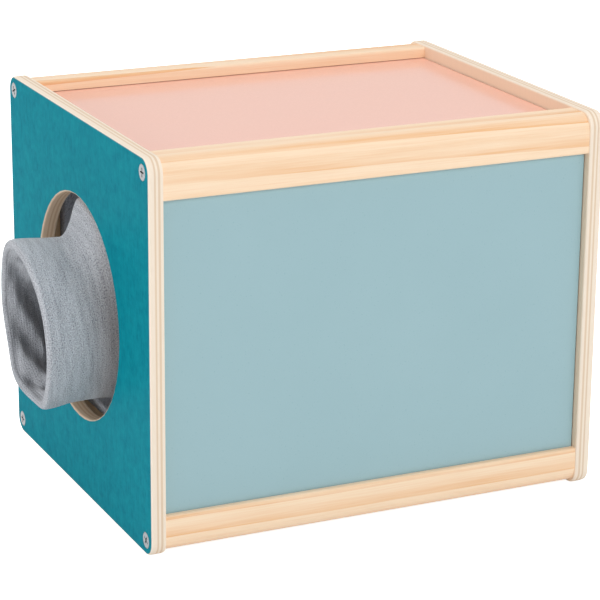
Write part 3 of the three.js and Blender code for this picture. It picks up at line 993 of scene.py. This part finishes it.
@dataclass
class Studio:
    """White room, soft boxes and the camera at the photograph's viewpoint."""

    target: Point = (0.0, 0.0, 0.1)
    ambient: float = 0.46
    floor_width: float = 14.0
    floor_colour: str = "#F4F4F4"
    floor_lift: float = 0.75
    camera_place: Point = (-0.52484, -1.12589, 0.48478)
    azimuth: float = -25.072
    elevation: float = 17.730
    roll: float = 0.523
    focal_pixels: float = 2462.1
    frame_pixels: float = 600.0
    sensor_mm: float = 36.0
    lamps: tuple[Lamp, ...] = (
        Lamp("key_soft_box", (0.1, -2.08, 1.3), 0.9, 23.0),
        Lamp("top_soft_box", (0.2, 0.1, 2.2), 1.8, 14.0),
        Lamp("left_soft_box", (-2.1, 0.2, 0.5), 1.0, 18.5),
        Lamp("right_soft_box", (2.1, 0.2, 0.7), 1.4, 11.0),
        Lamp("back_soft_box", (0.3, 2.1, 0.9), 1.4, 9.0),
    )

    def build(self) -> None:
        """Builds the whole set."""
        self.build_world()
        self.build_floor()
        for lamp in self.lamps:
            self.build_lamp(lamp)
        self.build_camera()
        bpy.context.scene.view_settings.view_transform = "Standard"

    def build_world(self) -> None:
        """A plain white surround: white to the eye and to gloss, dimmer as a source of light."""
        world = bpy.data.worlds.new("white_room")
        bpy.context.scene.world = world
        world.use_nodes = True
        world.node_tree.nodes.clear()
        board = NodeBoard(world.node_tree)
        strength = board.add("ShaderNodeMapRange", {0: board.seen(), 3: self.ambient, 4: 1.0}).outputs[0]
        background = board.add("ShaderNodeBackground", {"Strength": strength}).outputs[0]
        board.add("ShaderNodeOutputWorld", {"Surface": background})

    def build_floor(self) -> None:
        """A pale floor that is white to the eye and keeps the box's shadow."""
        half = self.floor_width / 2
        mesh = bpy.data.meshes.new("floor")
        corners = [(-half, -half, 0), (half, -half, 0), (half, half, 0), (-half, half, 0)]
        mesh.from_pydata(corners, [], [(0, 1, 2, 3)])
        floor = bpy.data.objects.new("floor", mesh)
        bpy.context.scene.collection.objects.link(floor)
        s = Surface("matt_white_studio_floor")
        lift = s.add("ShaderNodeMath", {0: s.seen(), 1: self.floor_lift}, operation="MULTIPLY").outputs[0]
        s.finish(
            {
                "Base Color": linear(self.floor_colour),
                "Roughness": 0.9,
                "Specular IOR Level": 0.1,
                "Emission Color": (1.0, 1.0, 1.0, 1.0),
                "Emission Strength": lift,
            }
        )
        mesh.materials.append(s.material)

    def build_lamp(self, lamp: Lamp) -> None:
        """Hangs one soft box, facing the box.

        Args:
            lamp: The lamp's place, width and power.
        """
        light = bpy.data.lights.new(lamp.name, "AREA")
        light.size = lamp.width
        light.energy = lamp.watts
        hung = bpy.data.objects.new(lamp.name, light)
        hung.location = lamp.place
        # Gloss mirrors the white room, not the bare shape of a lamp
        hung.visible_glossy = False
        way = Vector(self.target) - Vector(lamp.place)
        hung.rotation_euler = way.to_track_quat("-Z", "Y").to_euler()
        bpy.context.scene.collection.objects.link(hung)

    def build_camera(self) -> None:
        """Sets the camera where the photograph's edges put it, with no shift."""
        a, e, r = (math.radians(v) for v in (self.azimuth, self.elevation, self.roll))
        back = Vector((math.sin(a) * math.cos(e), -math.cos(a) * math.cos(e), math.sin(e)))
        level = (-back).cross(Vector((0, 0, 1))).normalized()
        upright = back.cross(level)
        right = level * math.cos(r) + upright * math.sin(r)
        up = upright * math.cos(r) - level * math.sin(r)
        lens = bpy.data.cameras.new("camera")
        lens.sensor_width = self.sensor_mm
        lens.lens = self.sensor_mm * self.focal_pixels / self.frame_pixels
        camera = bpy.data.objects.new("camera", lens)
        turned = Matrix((right, up, back)).transposed().to_4x4()
        camera.matrix_world = Matrix.Translation(self.camera_place) @ turned
        bpy.context.scene.collection.objects.link(camera)
        bpy.context.scene.camera = camera


def main() -> None:
    """Loads the CAD frame, then builds and dresses the box and its studio."""
    logging.basicConfig(level=logging.INFO, format="%(name)s: %(message)s")
    for leftover in list(bpy.data.objects):
        bpy.data.objects.remove(leftover)
    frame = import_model()
    Studio().build()
    Carcass(frame["nodes"]).dress()
    jersey = HeatherJersey().material()
    for side in Side:
        sleeve = Sleeve(side)
        sleeve.dress(sleeve.build(), jersey)


if __name__ == "__main__":
    main()
